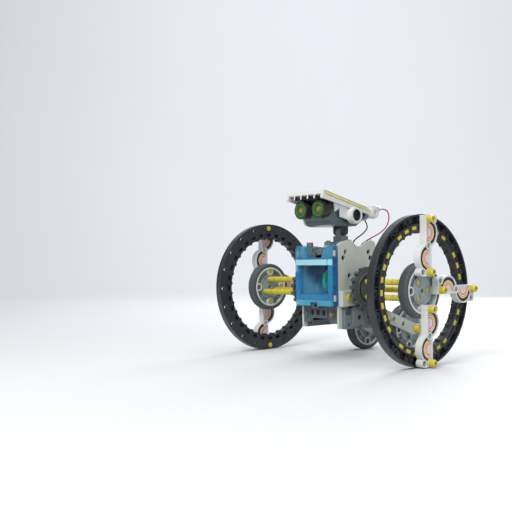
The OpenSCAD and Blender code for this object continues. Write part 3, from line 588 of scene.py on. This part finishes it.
def curve_points(route, steps):
    """Catmull-Rom through the route, in metres."""
    p = [Vector(v) * MM for v in route]
    out = []
    for i in range(len(p) - 1):
        a, b, c, d = p[max(i - 1, 0)], p[i], p[i + 1], p[min(i + 2, len(p) - 1)]
        for j in range(steps):
            t = j / steps
            out.append(0.5 * (2 * b + (c - a) * t + (2 * a - 5 * b + 4 * c - d) * t * t
                              + (3 * b - a - 3 * c + d) * t * t * t))
    return out + [p[-1]]


def tube_mesh(name, path, radius, mat, sides=12):
    verts, faces = [], []
    for i, p in enumerate(path):
        t = (path[min(i + 1, len(path) - 1)] - path[max(i - 1, 0)]).normalized()
        a = t.cross(Vector((1, 0.35, 0))).normalized()
        b = t.cross(a)
        for j in range(sides):
            w = 2 * math.pi * j / sides
            verts.append(p + radius * (a * math.cos(w) + b * math.sin(w)))
    n = len(path)
    for i in range(n - 1):
        for j in range(sides):
            k = (j + 1) % sides
            faces.append((i * sides + j, (i + 1) * sides + j, (i + 1) * sides + k, i * sides + k))
    faces.append(tuple(range(sides)))
    faces.append(tuple(reversed(range((n - 1) * sides, n * sides))))
    return make_object(name, verts, faces, [mat], smooth=True)


# ---------------------------------------------------------------- wires
# the part's own routes, in mm, from the head down to the deck
RED_ROUTE = [(20, 35.35, 129.65), (20.1, 36.9, 129.3), (20.7, 40.4, 129.5), (21.3, 43.8, 128.6),
             (21.7, 46, 126), (21.7, 46.9, 122.2), (21, 46.4, 117.8), (19.8, 44.2, 113),
             (17.6, 38, 108), (14.6, 29.6, 103.6), (12.6, 23.4, 100), (12.1, 20.8, 98), (12, 20.2, 96.1)]
BLACK_ROUTE = [(14.6, 22.4, 119.6), (15.2, 24.2, 116.4), (15.4, 24.6, 112.8), (14.4, 22.2, 109.2),
               (12.8, 18.4, 106), (11, 14.4, 103), (9.6, 12.2, 99.6), (9.2, 11.6, 94.8)]
WIRE_R = 0.6 * MM


def make_wires(mats):
    for name, route in (("wire_red", RED_ROUTE), ("wire_black", BLACK_ROUTE)):
        path = curve_points(route, 5)
        w = tube_mesh(name + "_sheath", path, WIRE_R * 0.99, mats[name])
        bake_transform(w)
        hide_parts(name)


# ---------------------------------------------------------------- printed discs in the arms
WHEEL_X, ARM_HALF_WEB = 97 * MM, 2.1 * MM
PRINT_LIFT = 0.28 * MM  # how far the print stands off the arm's web
ARM_TURNS = (0, 180, 270)  # top, bottom and rear arm, in degrees
LOBE_C, LOBE_FLAT = (0.2, 45.4), -1.6  # middle of an arm's inner half disc, and its flat side
ARM_MIDDLE = 35.25  # the outer half disc is the inner one turned about this point
BANDS = [(0, 4.0, 0), (4.0, 4.8, 1), (4.8, 5.5, 2), (5.5, 6.5, 3), (6.5, 7.3, 4), (7.3, 9.75, 5)]
EYELETS = [(0, 56), (7.4, 55.9), (0, ARM_MIDDLE)]
CLEAR_R = 3.65  # what the prints keep clear round each eyelet
ARC_STEPS, ARC_FROM, ARC_SPAN = 60, -97, 194


def clipped(x, y):
    """A point of the print, kept off the arm's flat side and its eyelets."""
    x = max(x, LOBE_FLAT)
    for ex, ey in EYELETS:
        d = math.hypot(x - ex, y - ey)
        if d < CLEAR_R:
            k = CLEAR_R / max(d, 1e-6)
            x, y = ex + (x - ex) * k, ey + (y - ey) * k
    return x, y


def print_point(r, step, half, turn):
    """A point of an arc, as its offset in Y and Z from the axle, in mm."""
    w = math.radians(ARC_FROM + ARC_SPAN * step / ARC_STEPS)
    x, y = clipped(LOBE_C[0] + r * math.cos(w), LOBE_C[1] + r * math.sin(w))
    if half:
        x, y = -x, 2 * ARM_MIDDLE - y
    ca, sa = math.cos(math.radians(turn)), math.sin(math.radians(turn))
    return ca * x - sa * y, sa * x + ca * y


def arm_print(side, mats):
    """Half discs of coloured arcs, laid on both faces of each arm's web."""
    verts, faces, index = [], [], []
    edges = sorted({b[0] for b in BANDS} | {b[1] for b in BANDS})
    for turn, half, face in [(t, h, f) for t in ARM_TURNS for h in (0, 1) for f in (-1, 1)]:
        at_x = side * WHEEL_X + face * (ARM_HALF_WEB + PRINT_LIFT)
        rings = {}
        for r in edges:
            rings[r] = range(len(verts), len(verts) + ARC_STEPS + 1)
            for step in range(ARC_STEPS + 1):
                py, pz = print_point(r, step, half, turn)
                verts.append((at_x, AXLE_Y + py * MM, AXLE_Z + pz * MM))
        for lo, hi, m in BANDS:
            for i in range(ARC_STEPS):
                q = (rings[lo][i], rings[hi][i], rings[hi][i + 1], rings[lo][i + 1])
                faces.append(q if face > 0 else q[::-1])
                index.append(m)
    name = "right" if side > 0 else "left"
    films = [mats[f"print_{i}"] for i in range(len(PRINT_COLOURS))]
    o = make_object(f"arm_prints_{name}", verts, faces, films, index)
    bm = bmesh.new()
    bm.from_mesh(o.data)
    bmesh.ops.remove_doubles(bm, verts=bm.verts, dist=1e-7)
    bmesh.ops.dissolve_degenerate(bm, edges=bm.edges, dist=1e-7)
    bm.to_mesh(o.data)
    bm.free()
    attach(o, "drive")
    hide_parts(f"arm_discs_{name}")


# ---------------------------------------------------------------- solar cells
def on_slope(x, y, z):
    """A point given in the sloping panel's own axes, in mm, as a point of the row frame."""
    return (x * MM, FRONT.y + (y * math.cos(SLOPE) + z * math.sin(SLOPE)) * MM,
            FRONT.z + (z * math.cos(SLOPE) - y * math.sin(SLOPE)) * MM)


def box_on_slope(verts, faces, x0, x1, y0, y1, z0, z1, cut):
    """A bar with its upper edges chamfered."""
    low = [(x0, y0), (x1, y0), (x1, y1), (x0, y1)]
    top = [(x0 + cut, y0 + cut), (x1 - cut, y0 + cut), (x1 - cut, y1 - cut), (x0 + cut, y1 - cut)]
    s = len(verts)
    for ring, z in ((low, z0), (low, z1 - cut), (top, z1)):
        verts += [on_slope(x, y, z) for x, y in ring]
    faces += [(s + 3, s + 2, s + 1, s), (s + 8, s + 9, s + 10, s + 11)]
    for k in (0, 4):
        for i in range(4):
            j = (i + 1) % 4
            faces.append((s + k + i, s + k + j, s + k + 4 + j, s + k + 4 + i))


CELL_LINE_Z = 2.65  # just inside the top of the cell layer
STRIP_HALF, STRIP_TOP = 0.35, 2.76
FINGER_HALF, FINGER_TOP, FINGER_PITCH = 0.06, 2.72, 2.08


def make_cell_lines(mats):
    """Three collector strips along the panel and thin fingers across it."""
    verts, faces = [], []
    for x in (-10.4, 0, 10.4):
        box_on_slope(verts, faces, x - STRIP_HALF, x + STRIP_HALF, 2.6, 56.4, CELL_LINE_Z, STRIP_TOP, 0.04)
    for k in range(1, 26):
        y = 2.2 + k * FINGER_PITCH
        box_on_slope(verts, faces, -20.4, 20.4, y - FINGER_HALF, y + FINGER_HALF, CELL_LINE_Z, FINGER_TOP,
                     0.02)
    o = make_object("cell_strips", verts, faces, [mats["tin"]])
    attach(o, "head")


# ---------------------------------------------------------------- studio
FLOOR_R, CURVE_R, WALL_TOP = 1.4, 1.2, 2.2  # round cove: flat floor, curve and wall, in metres
LIGHTS = (  # name, place, aim, size, power, tone
    ("key", (0.25, -0.80, 0.75), (0, 0, 0.07), 0.45, 9, (1.0, 0.98, 0.95)),
    ("fill", (0.95, -0.20, 0.30), (0, 0, 0.07), 0.7, 3, (0.94, 0.97, 1.0)),
    ("top", (0.0, 0.10, 1.0), (0, 0, 0.07), 0.9, 6, (1.0, 1.0, 1.0)),
    ("rim", (-0.3, 0.85, 0.45), (0, 0, 0.08), 0.5, 5, (1.0, 1.0, 1.0)),
    ("wall", (-0.7, 0.75, 1.5), (-1.9, 1.7, 0.5), 1.2, 30, (0.97, 0.98, 1.0)))


def make_studio():
    bpy.context.scene.view_settings.view_transform = "Standard"
    g = Graph("studio_paper")
    g.link(g.mix(g.noise(2.0, 2), (0.53, 0.54, 0.555), (0.55, 0.56, 0.575)), g.bsdf.inputs["Base Color"])
    g.bsdf.inputs["Roughness"].default_value = 0.75
    prof = [(0.5, 0.0), (FLOOR_R, 0.0)]
    for a in (math.radians(v) for v in range(6, 91, 6)):
        prof.append((FLOOR_R + CURVE_R * math.sin(a), CURVE_R - CURVE_R * math.cos(a)))
    prof.append((FLOOR_R + CURVE_R, WALL_TOP))
    sides, verts, faces = 96, [], []
    for r, z in prof:
        verts += [(r * math.cos(2 * math.pi * j / sides), r * math.sin(2 * math.pi * j / sides), z)
                  for j in range(sides)]
    faces.append(tuple(range(sides)))
    for i in range(len(prof) - 1):
        for j in range(sides):
            k = (j + 1) % sides
            faces.append((i * sides + j, i * sides + k, (i + 1) * sides + k, (i + 1) * sides + j)[::-1])
    floor = make_object("studio_cove", verts, faces, [g.mat], smooth=True)
    world = bpy.data.worlds.new("studio")
    world.use_nodes = True
    world.node_tree.nodes["Background"].inputs[0].default_value = (0.93, 0.96, 1.0, 1)
    world.node_tree.nodes["Background"].inputs[1].default_value = 0.55
    bpy.context.scene.world = world
    for name, at, aim, size, power, tone in LIGHTS:
        light = bpy.data.lights.new(name, "AREA")
        light.shape, light.size, light.energy, light.color = "DISK", size, power, tone
        o = bpy.data.objects.new(name, light)
        bpy.context.collection.objects.link(o)
        o.location = at
        o.rotation_mode = "QUATERNION"
        o.rotation_quaternion = (Vector(aim) - Vector(at)).to_track_quat("-Z", "Y")


# ---------------------------------------------------------------- build
make_camera()
materials = make_materials()
make_wires(materials)
paint(materials)
arm_print(1, materials)
arm_print(-1, materials)
make_cell_lines(materials)
make_studio()
